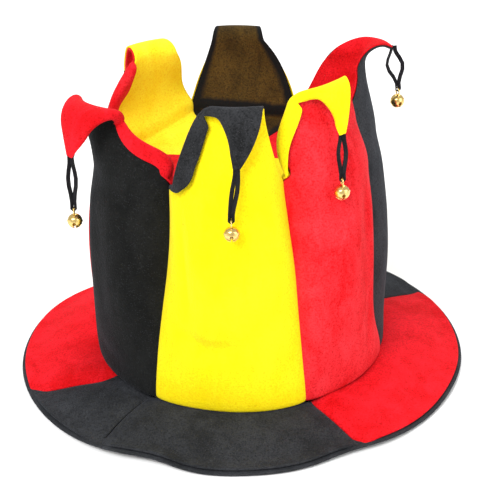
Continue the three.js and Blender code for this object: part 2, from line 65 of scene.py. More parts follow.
# Seams, from the left of the front panel round to its right: how high the valley between two petals
# is, and at the hat's heights the radius and the degrees that the seam swings round
seams = [
    {"valley": 1.01, "radius": (1, 0.95, 0.87, 0.8, 0.775, 0.775),
     "swing": (0, 0.14, 0.6, 1.4, 2.5, 3.5)},
    {"valley": 1.032, "radius": (1, 0.95, 0.905, 0.87, 0.805, 0.745),
     "swing": (0, -0.1, -0.5, -1.1, -1.9, -2.7)},
    {"valley": 1, "radius": (1, 0.945, 0.885, 0.835, 0.785, 0.735),
     "swing": (-10, -14, -16, -15, -12, -7)},
    {"valley": 0.985, "radius": (1, 0.95, 0.9, 0.85, 0.78, 0.72),
     "swing": (0, 0, 0, 0, 0, 0)},
    {"valley": 1.025, "radius": (1, 0.95, 0.9, 0.85, 0.78, 0.715),
     "swing": (0, 0, 0, 0, 0, 0)},
    {"valley": 1, "radius": (1, 0.985, 0.965, 0.93, 0.85, 0.75),
     "swing": (11, 14, 15.5, 13, 7, 0)},
]

petal = {
    "rise": 0.047,
    "crease": 0.033,
    "tip": 0.004,
    "length": 0.043,
    "foldRadius": 0.006,
    "edgeDraw": 0.3,
    "facingLean": 0.85,
    "tuckRise": 12,
}

# A petal's fold lies at side and out (shares of the hat's radius) and up (of the petal's rise). It is
# turned and tilted by degrees. Its flap rolls over by its curl, and its tip lies a reach to one side.
# Pairs are for the left and the right edge: how wide the fold is, how the flap bulges, the shoulders
# and leans of the way up to the fold, and the margins, which are the widths of the rolled edge at the
# lapel's heights. A negative margin rolls inwards. Some rows also say how much of the roll goes on
# along the flap, how far the roll pulls the cloth in, how far the outer cloth is tucked in from the
# lining's edge, and how fast the bulge tapers towards the tip.
petals = [
    # painted light: the front's lining is a black lightened a little, where its flap and lapels catch the
    # light
    {"name": "front", "outer": "yellow", "inner": "black", "innerFinish": "worn black",
     "side": 0.08, "out": 0.79, "up": 1.13, "turn": 0, "tilt": 1, "bow": 0.06, "wide": (1.1, 1),
     "radius": 1, "curl": 164, "length": 1.077, "reach": 0.03, "bulges": (-0.18, 0.15),
     "shoulders": (1, 0.15), "leans": (0.8, 0.8),
     "margins": ((0, 0.45, 0.85, 0.8, 0.7, 0.6), None), "onFlap": 0.5, "pull": 0.38},
    {"name": "front_right", "outer": "red", "inner": "yellow",
     "side": -0.125, "out": 0.755, "up": 1.18, "turn": 33, "tilt": 10, "bow": 0.08, "wide": (1.15, 1),
     "radius": 1, "curl": 168, "length": 0.965, "reach": 0.02, "bulges": (-0.24, 0.07),
     "shoulders": (1.1, 0.5), "leans": (-1, 0.8),
     "margins": ((0, 0.25, 0.45, 0.55, 0.6, 0.6), None), "onFlap": 0.6},
    # painted light: this panel's black outer cloth is the lighter copy of the black, made for cloth that
    # faces the light
    {"name": "back_right", "outer": "black", "outerFinish": "faded black", "inner": "red",
     "innerFinish": "deep red",
     "side": -0.07, "out": 0.9, "up": 0.93, "turn": 2, "tilt": 0, "bow": 0.36, "wide": (1, 1.25),
     "radius": 1.85, "curl": 130, "length": 0.68, "reach": -0.05, "bulges": (0, 0),
     "shoulders": (0.5, 1.3), "leans": (-0.5, 0.8),
     "margins": (None, None)},
    # painted light: the back's black lining is painted brown with light shining through from its yellow
    # outer cloth
    {"name": "back", "outer": "yellow", "inner": "black", "innerFinish": "brown black",
     "side": 0.055, "out": 0.78, "up": 0.935, "turn": 0, "tilt": 0, "bow": 0.08,
     "wide": (1.2, 1), "tuck": 0.08,
     "radius": 1, "curl": 168, "length": 1.035, "reach": 0, "bulges": (0.05, 0.05),
     "shoulders": (0.9, 0.3), "leans": (0.8, 0.8),
     "margins": (None, None)},
    {"name": "back_left", "outer": "red", "inner": "yellow", "innerFinish": "shaded yellow",
     "side": 0.02, "out": 0.63, "up": 1.045, "turn": 14, "tilt": 4, "bow": 0.08, "wide": (1, 1.15),
     "radius": 1.15, "curl": 148, "length": 0.985, "reach": 0.1, "bulges": (0.05, 0.05),
     "shoulders": (0.7, 2), "leans": (0.8, 1.4),
     "margins": (None, (0, -0.42, -0.6, -0.65, -0.7, -0.25)), "onFlap": 0},
    {"name": "front_left", "outer": "black", "inner": "red", "innerFinish": "deep red",
     "side": -0.07, "out": 0.955, "up": 0.76, "turn": -24, "tilt": -3, "bow": 0.2, "bulgeTaper": 2,
     "radius": 2, "curl": 176, "length": 1.28, "reach": 0.18, "bulges": (0.05, 0.38),
     "shoulders": (0.3, 1.9), "leans": (0.8, -2.1),
     "margins": (None, (0, 0.4, 0.6, 0.6, 0.58, 0.42)), "onFlap": 1},
]

lapel = {
    "radius": 0.0021,
    "width": 0.022,
    "curl": 184,
    "pull": 0.18,
    "heights": (0, 0.1, 0.3, 0.5, 0.75, 1),
}

# How wide the rolled margin still is along the flap past the fold, as shares of its width at the fold
flapMargins = {"places": (0, 0.25, 0.5, 0.75, 1), "widths": (1, 1, 0.8, 0.3, 0)}

nearby = 0.01  # step in u and v from which a surface's directions are read


def between(a, b, share):
    return a + (b - a) * share


def tableAt(places, values, place):
    last = len(places) - 1
    row = 0
    while row < last - 1 and place > places[row + 1]:
        row += 1
    share = (place - places[row]) / (places[row + 1] - places[row])
    start, end = values[row], values[row + 1]
    slopeStart = (end - values[max(row - 1, 0)]) / 2
    slopeEnd = (values[min(row + 2, last)] - start) / 2
    return hermite(start, slopeStart, end, slopeEnd, share)


def hermite(p0, t0, p1, t1, s):
    s2, s3 = s * s, s * s * s
    return p0 * (2 * s3 - 3 * s2 + 1) + t0 * (s3 - 2 * s2 + s) + p1 * (3 * s2 - 2 * s3) + t1 * (s3 - s2)


def arcThrough(left, middle, right, u):
    # a point on the circle through three points, for u from -1 to 1
    ax, ay = middle[0] - left[0], middle[1] - left[1]
    bx, by = right[0] - left[0], right[1] - left[1]
    scale = 2 * (ax * by - ay * bx)
    a2, b2 = ax * ax + ay * ay, bx * bx + by * by
    cx = left[0] + (by * a2 - ay * b2) / scale
    cy = left[1] + (ax * b2 - bx * a2) / scale
    radius = math.hypot(left[0] - cx, left[1] - cy)
    angles = [math.atan2(p[0] - cx, p[1] - cy) for p in (left, middle, right)]
    angle = between(angles[1], angles[0], -u) if u < 0 else between(angles[1], angles[2], u)
    return cx + radius * math.sin(angle), cy + radius * math.cos(angle)


def ofSide(pair, u):
    # the left value left of a panel's middle, and the right one right of it
    return pair[0 if u < 0 else 1]


halfPanel = math.pi / hat["panels"]


def valleyHeight(seam):
    return hat["foot"] + hat["rise"] * seam["valley"]


def seamsOf(index):
    return seams[index], seams[(index + 1) % len(seams)]


def seamPlace(seam, side, v):
    radius = hat["radius"] * tableAt(hat["heights"], seam["radius"], v)
    angle = side * halfPanel + math.radians(tableAt(hat["heights"], seam["swing"], v))
    return radius * math.sin(angle), radius * math.cos(angle)


def wallPoint(index, u, v):
    leftSeam, rightSeam = seamsOf(index)
    belly = hat["radius"] * tableAt(hat["heights"], hat["belly"], v)
    x, y = arcThrough(seamPlace(leftSeam, -1, v), (0, belly), seamPlace(rightSeam, 1, v), u)
    top = between(valleyHeight(leftSeam), valleyHeight(rightSeam), (u + 1) / 2)
    return Vector((x, y, between(hat["foot"], top, v)))


def foldFrame(row):
    yaw, tilt = math.radians(row["turn"]), math.radians(row["tilt"])
    level = Vector((math.cos(yaw), math.sin(yaw), 0))
    out = Vector((-math.sin(yaw), math.cos(yaw), 0))
    along = level * math.cos(tilt) + Vector((0, 0, math.sin(tilt)))
    up = level * -math.sin(tilt) + Vector((0, 0, math.cos(tilt)))
    height = hat["foot"] + hat["rise"] + petal["rise"] * row["up"]
    middle = Vector((row["side"] * hat["radius"], row["out"] * hat["radius"], height))
    return along, out, up, middle


def halfWidth(row, u, share):
    # half of the flap's width, from the fold at share 0 to its tip at 1
    wide = ofSide(row.get("wide", (1, 1)), u)
    return between(petal["crease"] * wide, petal["tip"], share) / 2


def foldLine(row, u):
    along, out, up, middle = foldFrame(row)
    return middle + along * (u * halfWidth(row, u, 0)) - out * (row["bow"] * petal["crease"] * u * u)


def risePoint(row, start, middleLean, u, v):
    lean = between(middleLean, ofSide(row["leans"], u), u * u)
    startUp = Vector((-petal["edgeDraw"] * u ** 3, lean, 1)) * petal["rise"]
    shoulder = ofSide(row["shoulders"], u)
    endUp = Vector((-shoulder * u * abs(u), 0, 1)) * petal["rise"]
    return hermite(start, startUp, foldLine(row, u), endUp, v)


def pulledIn(row, u, v):
    # a rolled edge takes up some of the petal's width above its valley
    if not ofSide(row["margins"], u):
        return u
    return u * (1 - row.get("pull", lapel["pull"]) * (1 - v) * max(0, min(1, v / lapel["heights"][1])))


def petalAt(index, u, v):
    return risePoint(petals[index], wallPoint(index, u, 1), 0, u, v)


def petalPoint(index, u, v):
    return petalAt(index, pulledIn(petals[index], u, v), v)


def facingPoint(index, u, v):
    u = pulledIn(petals[index], u, v)
    start = wallPoint(index, -1, 1).lerp(wallPoint(index, 1, 1), (u + 1) / 2)
    return risePoint(petals[index], start, petal["facingLean"], u, v)


def gorePoint(index, u, v):
    # a gore of the inner cap, from its middle out to where it meets the facing
    lowest = min(valleyHeight(seam) for seam in seams)
    return Vector((0, 0, lowest)).lerp(facingPoint(index, u, 0), v) - Vector((0, 0, hat["capDepth"]))


def rolled(edge, away, over, radius, curl, distance):
    # cloth that runs a distance past an edge and rolls over it
    turned = min(distance / radius, curl)
    rest = max(0, distance - radius * curl)
    return (edge + away * (radius * math.sin(turned) + rest * math.cos(curl))
            + over * (radius * (1 - math.cos(turned)) + rest * math.sin(curl)))


def flapPoint(row, u, share):
    along, out, up, middle = foldFrame(row)
    bulge = ofSide(row["bulges"], u) * petal["crease"]
    swell = 4 * bulge * share * (1 - share) ** row.get("bulgeTaper", 1)
    half = halfWidth(row, u, share) + swell
    edge = middle + along * (u * half + row["reach"] * petal["crease"] * share)
    edge -= out * (row["bow"] * petal["crease"] * u * u * (1 - share))
    radius = petal["foldRadius"] * row["radius"]
    distance = share * petal["length"] * row["length"]
    return rolled(edge, up, out, radius, math.radians(row["curl"]), distance)


def rolledEdge(pointAt, u, place, way, distance):
    # the lapel's roll over the edge at u of a surface, outwards where way is on the edge's side
    here = pointAt(u, place)
    up = (pointAt(u, place + nearby) - pointAt(u, place - nearby)).normalized()
    away = here - pointAt(u * (1 - nearby), place)
    away = (away - up * away.dot(up)).normalized()
    over = up.cross(away) * math.copysign(1, way)
    return rolled(here, away, over, lapel["radius"], math.radians(lapel["curl"]), distance)


def marginPoint(index, side, v, distance):
    share = tableAt(lapel["heights"], ofSide(petals[index]["margins"], side), v)
    u = pulledIn(petals[index], side, v)
    return rolledEdge(lambda across, up: petalAt(index, across, up), u, v, side * share,
                      lapel["width"] * abs(share) * distance)


def flapMarginPoint(row, side, share, distance):
    atFold = ofSide(row["margins"], side)[-1]
    width = lapel["width"] * abs(atFold) * row.get("onFlap", 1)
    width *= tableAt(flapMargins["places"], flapMargins["widths"], share)
    return rolledEdge(lambda across, down: flapPoint(row, across, down), side, share, side * atFold,
                      width * distance)


def panelMatrix(index):
    azimuth = math.radians(hat["frontAzimuth"] + 360 / hat["panels"] * index)
    side = Vector((math.cos(azimuth), math.sin(azimuth), 0))
    out = Vector((math.sin(azimuth), -math.cos(azimuth), 0))
    return Matrix((side, out, Vector((0, 0, 1)))).transposed()


# Shader maths: a Shade holds one socket, and what is worked out with it adds nodes


class Shade:
    def __init__(self, tree, socket=None):
        self.tree = tree
        self.socket = socket

    def node(self, kind, inputs=(), output=0, stops=(), **settings):
        made = self.tree.nodes.new(kind)
        for key, value in settings.items():
            setattr(made, key, value)
        for i, (place, colour) in enumerate(stops):
            point = made.color_ramp.elements[i] if i < 2 else made.color_ramp.elements.new(place)
            point.position = place
            point.color = colour
        for key, value in dict(inputs).items():
            if isinstance(value, Shade):
                self.tree.links.new(value.socket, made.inputs[key])
            else:
                made.inputs[key].default_value = value
        return Shade(self.tree, made.outputs[output])

    def maths(self, operation, *values):
        return self.node("ShaderNodeMath", enumerate(values), operation=operation)

    def __add__(self, other):
        return self.maths("ADD", self, other)

    def __sub__(self, other):
        return self.maths("SUBTRACT", self, other)

    def __rsub__(self, other):
        return self.maths("SUBTRACT", other, self)

    def __mul__(self, other):
        return self.maths("MULTIPLY", self, other)

    def __gt__(self, other):
        return self.maths("GREATER_THAN", self, other)

    def __lt__(self, other):
        return self.maths("LESS_THAN", self, other)

    def __abs__(self):
        return self.maths("ABSOLUTE", self)

    __radd__ = __add__
    __rmul__ = __mul__

    def mixed(self, first, second):
        # first where this mask is 0, second where it is 1
        return self.node("ShaderNodeMix", {0: self, 6: first, 7: second}, output=2, data_type="RGBA")


def newMaterial(name, fixed):
    material = bpy.data.materials.new(name)
    material.use_nodes = True
    tree = material.node_tree
    surface = tree.nodes["Principled BSDF"]
    for key, value in fixed.items():
        surface.inputs[key].default_value = value
    return material, Shade(tree), surface


def noiseOf(start, place, scale, detail=2, roughness=0.5, distortion=0):
    return start.node("ShaderNodeTexNoise", {
        "Vector": place, "Scale": scale, "Detail": detail, "Roughness": roughness,
        "Distortion": distortion})


def stretched(start, place, scale):
    return start.node("ShaderNodeMapping", {"Vector": place, "Scale": scale})


def join(start, source, surface, socket):
    start.tree.links.new(source.socket, surface.inputs[socket])


# Velour: colours are the pile lying one way, the other way, and where it parts into furrows, whose darker
# colour is painted shade

velours = {
    "yellow": {"base": (0.89, 0.69, 0.0, 1), "brushed": (0.95, 0.78, 0.008, 1),
               "deep": (0.82, 0.52, 0.0, 1), "lint": 0.0, "lintColour": (1, 0.95, 0.5, 1),
               "sheen": 0.1, "sheenTint": (1, 0.95, 0.5, 1)},
    # painted shade: the back left lining's yellow as it looks in shade, warmer and more orange
    "shaded yellow": {"base": (0.92, 0.71, 0.01, 1), "brushed": (0.97, 0.84, 0.035, 1),
                      "deep": (0.84, 0.5, 0.002, 1), "lint": 0.0, "lintColour": (1, 0.95, 0.5, 1),
                      "sheen": 0.1, "sheenTint": (1, 0.9, 0.5, 1)},
    "red": {"base": (0.63, 0.0, 0.003, 1), "brushed": (0.82, 0.032, 0.044, 1),
            "deep": (0.42, 0.0, 0.002, 1), "lint": 0.0, "lintColour": (1, 0.4, 0.4, 1),
            "sheen": 0.08, "sheenTint": (1, 0.3, 0.3, 1)},
    "deep red": {"base": (0.55, 0.0, 0.002, 1), "brushed": (0.79, 0.01, 0.02, 1),
                 "deep": (0.32, 0.0, 0.001, 1), "lint": 0.0, "lintColour": (1, 0.4, 0.4, 1),
                 "sheen": 0.05, "sheenTint": (1, 0.3, 0.3, 1)},
    "black": {"base": (0.0025, 0.003, 0.0025, 1), "brushed": (0.0095, 0.01, 0.0095, 1),
              "deep": (0.001, 0.001, 0.002, 1), "lint": 0.3, "lintColour": (0.05, 0.052, 0.06, 1),
              "sheen": 0.07, "sheenTint": (0.6, 0.65, 0.8, 1)},
    # painted light: black lightened a little, for the front's lining, whose flap and lapels catch the light
    "worn black": {"base": (0.008, 0.0085, 0.009, 1), "brushed": (0.03, 0.031, 0.034, 1),
                   "deep": (0.002, 0.002, 0.003, 1), "lint": 0.3, "lintColour": (0.08, 0.082, 0.09, 1),
                   "sheen": 0.08, "sheenTint": (0.6, 0.65, 0.8, 1)},
    # painted light: a lighter copy of the black for cloth that catches more light: the black brim pieces,
    # the brim's underside and the back right panel
    "faded black": {"base": (0.014, 0.015, 0.017, 1), "brushed": (0.034, 0.036, 0.041, 1),
                    "deep": (0.004, 0.004, 0.005, 1), "lint": 0.3, "lintColour": (0.08, 0.082, 0.09, 1),
                    "sheen": 0.1, "sheenTint": (0.6, 0.65, 0.8, 1)},
    # painted light: black lining painted brown where light from the yellow outer cloth shines through; its
    # rim stays black
    "brown black": {"base": (0.03, 0.016, 0.0025, 1), "brushed": (0.08, 0.045, 0.008, 1),
                    "deep": (0.01, 0.006, 0.002, 1), "lint": 0.3, "lintColour": (0.12, 0.08, 0.03, 1),
                    "sheen": 0.02, "sheenTint": (0.8, 0.7, 0.5, 1), "rim": (0.006, 0.006, 0.006, 1)},
}

pile = {"tuft": 900, "nap": 75, "patch": 16, "tuftHeight": 0.0009, "napHeight": 0.0015, "lintScale": 900,
        "lintSize": 0.26, "napMix": 0.55, "rimStart": 0.21, "rimEnd": 0.245,
        "bandMiddle": 0.235, "bandStart": 0.018, "bandEnd": 0.04,
        "waver": 0.03, "tuftMix": 0.35, "furrowShade": 0.75, "roughness": 0.82, "roughnessVaries": 0.16}


def velour(name, tone):
    material, start, surface = newMaterial(name, {
        "Sheen Weight": tone["sheen"], "Sheen Roughness": 0.35, "Sheen Tint": tone["sheenTint"],
        "Specular IOR Level": 0.15})
    place = start.node("ShaderNodeTexCoord", output="Object")
    tuft = noiseOf(start, place, pile["tuft"], 3, 0.65)
    brushedPlace = stretched(start, place, (1, 1, 0.45))
    nap = noiseOf(start, brushedPlace, pile["nap"], 5, 0.62, 0.6)
    patch = noiseOf(start, place, pile["patch"], 3, 0.55, 0.8)
    mottle = nap * pile["napMix"] + patch * (1 - pile["napMix"]) + (tuft - 0.5) * pile["tuftMix"]
    lying = start.node("ShaderNodeValToRGB", {"Fac": mottle},
                       stops=[(0.36, (0, 0, 0, 1)), (0.62, (1, 1, 1, 1))])
    # painted shade: the deep colour goes where the fine pile's height is low
    pileShade = start.node("ShaderNodeValToRGB", {"Fac": tuft},
                        stops=[(0.28, (1, 1, 1, 1)), (0.5, (0, 0, 0, 1))])
    colour = lying.mixed(tone["base"], tone["brushed"])
    colour = (pileShade * pile["furrowShade"]).mixed(colour, tone["deep"])
    if tone["lint"]:
        specks = start.node("ShaderNodeTexVoronoi", {
            "Vector": place, "Scale": pile["lintScale"]}, "Distance")
        picked = noiseOf(start, place, pile["lintScale"] * 0.31, 1) > 0.5
        colour = ((specks < pile["lintSize"]) * picked * tone["lint"]).mixed(colour, tone["lintColour"])
    # painted light on the backlit lining: brown away from its rim and the band across it, where seam
    # allowances keep the light out and leave it black
    if "rim" in tone:
        # the weave's x runs across the piece, with 0.5 at its middle
        weave = start.node("ShaderNodeUVMap", uv_map="weave")
        waver = (nap - 0.5) * pile["waver"]
        across = start.node("ShaderNodeSeparateXYZ", {"Vector": weave})
        across = across - 0.5 + waver
        along = start.node("ShaderNodeSeparateXYZ", {"Vector": weave}, output=1)
        along = along - pile["bandMiddle"] + waver
        rim = start.node("ShaderNodeMapRange", {
            0: abs(across), 1: pile["rimStart"], 2: pile["rimEnd"]})
        band = start.node("ShaderNodeMapRange", {
            0: abs(along), 1: pile["bandEnd"], 2: pile["bandStart"]})
        colour = rim.maths("MAXIMUM", rim, band).mixed(colour, tone["rim"])
    join(start, colour, surface, "Base Color")
    join(start, pile["roughness"] + tuft * pile["roughnessVaries"], surface, "Roughness")
    fine = start.node("ShaderNodeBump", {"Height": tuft, "Strength": 0.6, "Distance": pile["tuftHeight"]})
    broad = start.node("ShaderNodeBump", {
        "Height": nap, "Normal": fine, "Strength": 0.45, "Distance": pile["napHeight"]})
    join(start, broad, surface, "Normal")
    return material


def satin():
    # ribbon: ribs across its length follow the piece's own UV map, v along it
    material, start, surface = newMaterial("ribbon_satin", {"Specular IOR Level": 0.16})
    along = start.node("ShaderNodeUVMap", uv_map="weave")
    ribs = start.node("ShaderNodeTexWave", {"Vector": along, "Scale": 26, "Distortion": 1.2, "Detail": 1},
                      wave_type="BANDS", bands_direction="DIAGONAL")
    place = start.node("ShaderNodeTexCoord", output="Object")
    threads = noiseOf(start, place, 1500, 2)
    colour = (ribs * threads).mixed((0.001, 0.001, 0.0015, 1), (0.022, 0.02, 0.028, 1))
    join(start, colour, surface, "Base Color")
    join(start, 0.34 + threads * 0.3, surface, "Roughness")
    bump = start.node("ShaderNodeBump", {"Height": ribs, "Strength": 0.6, "Distance": 0.0002})
    join(start, bump, surface, "Normal")
    return material


def brass():
    material, start, surface = newMaterial("bell_gold", {"Metallic": 1.0, "Coat Roughness": 0.1})
    place = start.node("ShaderNodeTexCoord", output="Object")
    tarnish = noiseOf(start, place, 420, 4, 0.6)
    scuff = noiseOf(start, place, 2400, 2)
    colour = tarnish.mixed((0.95, 0.74, 0.3, 1), (0.72, 0.45, 0.12, 1))
    join(start, colour, surface, "Base Color")
    join(start, 0.16 + tarnish * 0.22, surface, "Roughness")
    bump = start.node("ShaderNodeBump", {"Height": scuff, "Strength": 0.15, "Distance": 0.0001})
    join(start, bump, surface, "Normal")
    return material


materials = {name: velour("velour_" + name.replace(" ", "_"), tone) for name, tone in velours.items()}
materials["ribbon"] = satin()
materials["brass"] = brass()
slots = {name: name.split()[-1] + "_velour" for name in velours}
slots["ribbon"] = "black_ribbon"
slots["brass"] = "bell_brass"


def placed(name, bm, finish, nodes):
    mesh = bpy.data.meshes.new(name)
    bm.to_mesh(mesh)
    bm.free()
    mesh.materials.append(materials[finish])
    mesh.polygons.foreach_set("use_smooth", [True] * len(mesh.polygons))
    piece = bpy.data.objects.new(name, mesh)
    bpy.context.scene.collection.objects.link(piece)
    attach(piece, "root")
    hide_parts(*nodes)
    return piece


def roundedCloth(piece, thickness, grow):
    # grow is 1 where the cloth lies outside its mesh, -1 where inside
    wall = piece.modifiers.new("thickness", "SOLIDIFY")
    wall.thickness = thickness
    wall.offset = grow
    wall.use_even_offset = False
    smooth = piece.modifiers.new("soft edges", "SUBSURF")
    smooth.levels = 1
    smooth.render_levels = 1


def gridOf(columns, rows, pointAt, offset):
    # a grid laid on a surface: pointAt takes x from -1 to 1 and y from 0 to 1
    bm = bmesh.new()
    bm.loops.layers.uv.new("weave")
    bmesh.ops.create_grid(bm, x_segments=columns, y_segments=rows, size=1, calc_uvs=True)
    for vert in bm.verts:
        vert.co = pointAt(vert.co.x, (vert.co.y + 1) / 2)
    bmesh.ops.remove_doubles(bm, verts=bm.verts, dist=1e-6)
    bm.normal_update()
    moves = [vert.normal * offset for vert in bm.verts]
    for vert, move in zip(bm.verts, moves):
        vert.co += move
    return bm


# Crown panels

panelLook = {
    "columns": 30,
    "rows": 64,
    "marginColumns": 8,
    "petalShare": 0.26,  # of a panel's rows
    "flapShare": 0.24,
    "seamDip": 0.0014,
    "seamWidth": 0.07,
    "footDip": 0.001,
    "footWidth": 0.04,
    "ripple": 0.0013,
    "rippleScale": 20,
    "evenFrom": 0.85,  # height on the wall from which the softness fades out
    "inwardTurn": 0.3,
}

# Soft creases in the crown's cloth: from and to are (u, v) on the wall, depth in metres
creases = {
    "front": [
        {"from": (-0.6, 0.98), "to": (-0.42, 0.42), "width": 0.07, "depth": 0.004},
        {"from": (-0.62, 0.38), "to": (-0.2, 0.31), "width": 0.045, "depth": 0.0042},
        {"from": (-0.35, 0.31), "to": (0.16, 0.33), "width": 0.045, "depth": 0.0042},
        {"from": (0.45, 0.95), "to": (0.3, 0.5), "width": 0.12, "depth": 0.0018},
    ],
    "front_right": [
        {"from": (0.1, 1.1), "to": (-0.15, 0.55), "width": 0.12, "depth": 0.0042},
        {"from": (-0.15, 0.6), "to": (0.1, 0.1), "width": 0.12, "depth": 0.002},
    ],
    "front_left": [
        {"from": (0.1, 0.9), "to": (0.2, 0.3), "width": 0.14, "depth": 0.0018},
        {"from": (-0.3, 0.12), "to": (0.5, 0.1), "width": 0.06, "depth": 0.0018},
    ],
}


def creaseDepth(name, u, v):
    total = 0
    for crease in creases.get(name, []):
        start, end = Vector(crease["from"]), Vector(crease["to"])
        line = end - start
        share = max(0, min(1, (Vector((u, v)) - start).dot(line) / line.length_squared))
        away = (Vector((u, v)) - start - line * share).length / crease["width"]
        total += crease["depth"] * math.exp(-away * away) * math.sin(math.pi * (0.1 + 0.8 * share))
    return total


def softness(name, place, u, v):
    # how far the wall's cloth lies in from its even surface
    seam = panelLook["seamDip"] * math.exp(-(1 - abs(u)) / panelLook["seamWidth"]) if v <= 1 else 0
    foot = panelLook["footDip"] * math.exp(-v / panelLook["footWidth"])
    wander = noise.noise(place * panelLook["rippleScale"]) * panelLook["ripple"]
    return seam + foot + creaseDepth(name, u, v) + wander


def rolledColumns(row):
    # columns each side for an edge of the outer cloth that rolls inwards
    return panelLook["marginColumns"] if any(shares and min(shares) < 0 for shares in row["margins"]) else 0


def panelPoint(index, x, y):
    row = petals[index]
    flapStart = 1 - panelLook["flapShare"]
    petalStart = flapStart - panelLook["petalShare"]
    inner = panelLook["columns"] / (panelLook["columns"] + 2 * rolledColumns(row))
    u = max(-1, min(1, x / inner))
    past = max(0, abs(x) - inner) / (1 - inner) if inner < 1 else 0
    rolls = past > 1e-4 and ofSide(row["margins"], u)
    matrix = panelMatrix(index)
    if y >= flapStart:
        share = (y - flapStart) / (1 - flapStart)
        if rolls:
            return matrix @ flapMarginPoint(row, math.copysign(1, u), share, past)
        return matrix @ flapPoint(row, u * (1 - row.get("tuck", 0)), share)
    if y >= petalStart:
        v = (y - petalStart) / (flapStart - petalStart)
        if rolls:
            return matrix @ marginPoint(index, math.copysign(1, u), v, past)
        return matrix @ petalPoint(index, u * (1 - row.get("tuck", 0) * min(1, v * petal["tuckRise"])), v)
    v = y / petalStart
    point = wallPoint(index, u, v)
    inward = Vector((-u * panelLook["inwardTurn"], -1, 0)).normalized()
    fade = 1 - max(0, v - panelLook["evenFrom"]) / (1 - panelLook["evenFrom"])
    return matrix @ (point + inward * softness(row["name"], matrix @ point, u, v) * fade)


def crownPanels():
    for index, row in enumerate(petals):
        bm = gridOf(panelLook["columns"] + 2 * rolledColumns(row), panelLook["rows"],
                    lambda x, y: panelPoint(index, x, y), hat["gap"] / 2)
        finish = row.get("outerFinish", row["outer"])
        piece = placed(f"velour_panel_{row['name']}", bm, finish, [f"crown_panel_{row['name']}"])
        roundedCloth(piece, hat["cloth"], 1)
    print("crown panels made")


# Linings: gore of the inner cap, then the petal's facing, then the flap.
# Columns past the petal's edges are its rolled margins.

liningLook = {
    "columns": 26,
    "rows": 60,
    "marginColumns": 10,
    "goreShare": 0.18,  # of a lining's rows
    "bandShare": 0.06,
    "flapShare": 0.3,
    "capMiddle": 0.012,
}

def liningPoint(index, x, y):
    row = petals[index]
    inner = liningLook["columns"] / (liningLook["columns"] + 2 * liningLook["marginColumns"])
    u = max(-1, min(1, x / inner))
    past = max(0, abs(x) - inner) / (1 - inner)
    flapStart = 1 - liningLook["flapShare"]
    goreEnd = liningLook["goreShare"]
    bandEnd = goreEnd + liningLook["bandShare"]
    matrix = panelMatrix(index)
    shares = ofSide(row["margins"], u)
    rolls = past > 1e-4 and shares and max(shares) > 0
    if y >= flapStart:
        share = (y - flapStart) / (1 - flapStart)
        if rolls:
            return matrix @ flapMarginPoint(row, math.copysign(1, u), share, past)
        return matrix @ flapPoint(row, u, share)
    if y <= goreEnd:
        return matrix @ gorePoint(index, u, max(liningLook["capMiddle"], y / goreEnd))
    if y <= bandEnd:
        share = (y - goreEnd) / (bandEnd - goreEnd)
        return matrix @ gorePoint(index, u, 1).lerp(facingPoint(index, u, 0), share)
    v = (y - bandEnd) / (flapStart - bandEnd)
    if rolls:
        return matrix @ marginPoint(index, math.copysign(1, u), v, past)
    return matrix @ facingPoint(index, u, v)


def petalLinings():
    for index, row in enumerate(petals):
        columns = liningLook["columns"] + 2 * liningLook["marginColumns"]
        bm = gridOf(columns, liningLook["rows"],
                    lambda x, y: liningPoint(index, x, y), -hat["gap"] / 2)
        finish = row.get("innerFinish", row["inner"])
        piece = placed(f"velour_lining_{row['name']}", bm, finish, [f"petal_lining_{row['name']}"])
        roundedCloth(piece, hat["lining"], -1)
    print("petal linings made")


# Brim

brim = {
    "radius": 0.1512,
    "stretch": 0.0032,
    "inset": 0.0045,
    "land": 0.011,
    "edgeStep": 0.0022,
    "felt": 0.0019,
    "layerGap": 0.0007,
    "fall": 1.35,
    "seamDip": 0.003,
    "seamWidth": 0.0075,
    "puff": 0.002,
    "ripple": 0.0012,
    "rippleScale": 26,
    "fadeRate": 6,
    "step": 2.6,  # degrees a column
    "rings": 26,
}

# Where the brim's edge lifts off the table, and where it draws in
brimLifts = [
    {"azimuth": -31, "spread": 13, "size": 0.004},
    {"azimuth": 32, "spread": 16, "size": 0.003},
    {"azimuth": 68, "spread": 12, "size": 0.002},
]
brimDents = [
    {"azimuth": 222, "spread": 17, "size": 0.012},
    {"azimuth": -23, "spread": 8, "size": 0.005},
    {"azimuth": 26, "spread": 9, "size": 0.004},
]

# painted light: the black brim pieces use the lighter copy of the black, made for cloth that faces the
# light
brimPieces = [
    {"name": "front_black", "colour": "faded black", "inner": (-40, 27), "outer": (-39, 31),
     "cut": (0.172, 0.082)},
    {"name": "right_red", "colour": "deep red", "inner": (27, 112), "outer": (31, 118),
     "cut": (0.222, 0.102)},
    {"name": "back_black", "colour": "faded black", "inner": (112, 199), "outer": (118, 199),
     "cut": (0.186, 0.083)},
    {"name": "left_red", "colour": "deep red", "inner": (199, 302), "outer": (199, 289),
     "cut": (0.218, 0.1)},
    {"name": "left_black", "colour": "faded black", "inner": (302, 320), "outer": (289, 321),
     "cut": (0.084, 0.065)},
]

brimInner = hat["radius"] - brim["inset"]


def bumps(rows, azimuth):
    total = 0
    for row in rows:
        away = (azimuth - row["azimuth"] + 180) % 360 - 180
        total += row["size"] * math.exp(-(away / row["spread"]) ** 2)
    return total


def brimEdge(azimuth):
    oval = brim["stretch"] * math.cos(2 * math.radians(azimuth))
    return brim["radius"] - oval - bumps(brimDents, azimuth)


def brimUnder(radius, azimuth):
    landStart = brimEdge(azimuth) - brim["land"]
    inner = hat["foot"] - hat["gap"] - 2 * brim["felt"] - brim["layerGap"]
    share = max(0, min(1, (landStart - radius) / (landStart - brimInner)))
    edge = max(0, min(1, (radius - brimInner) / (brimEdge(azimuth) - brimInner)))
    return inner * (1 - (1 - share) ** brim["fall"]) + bumps(brimLifts, azimuth) * edge ** 2


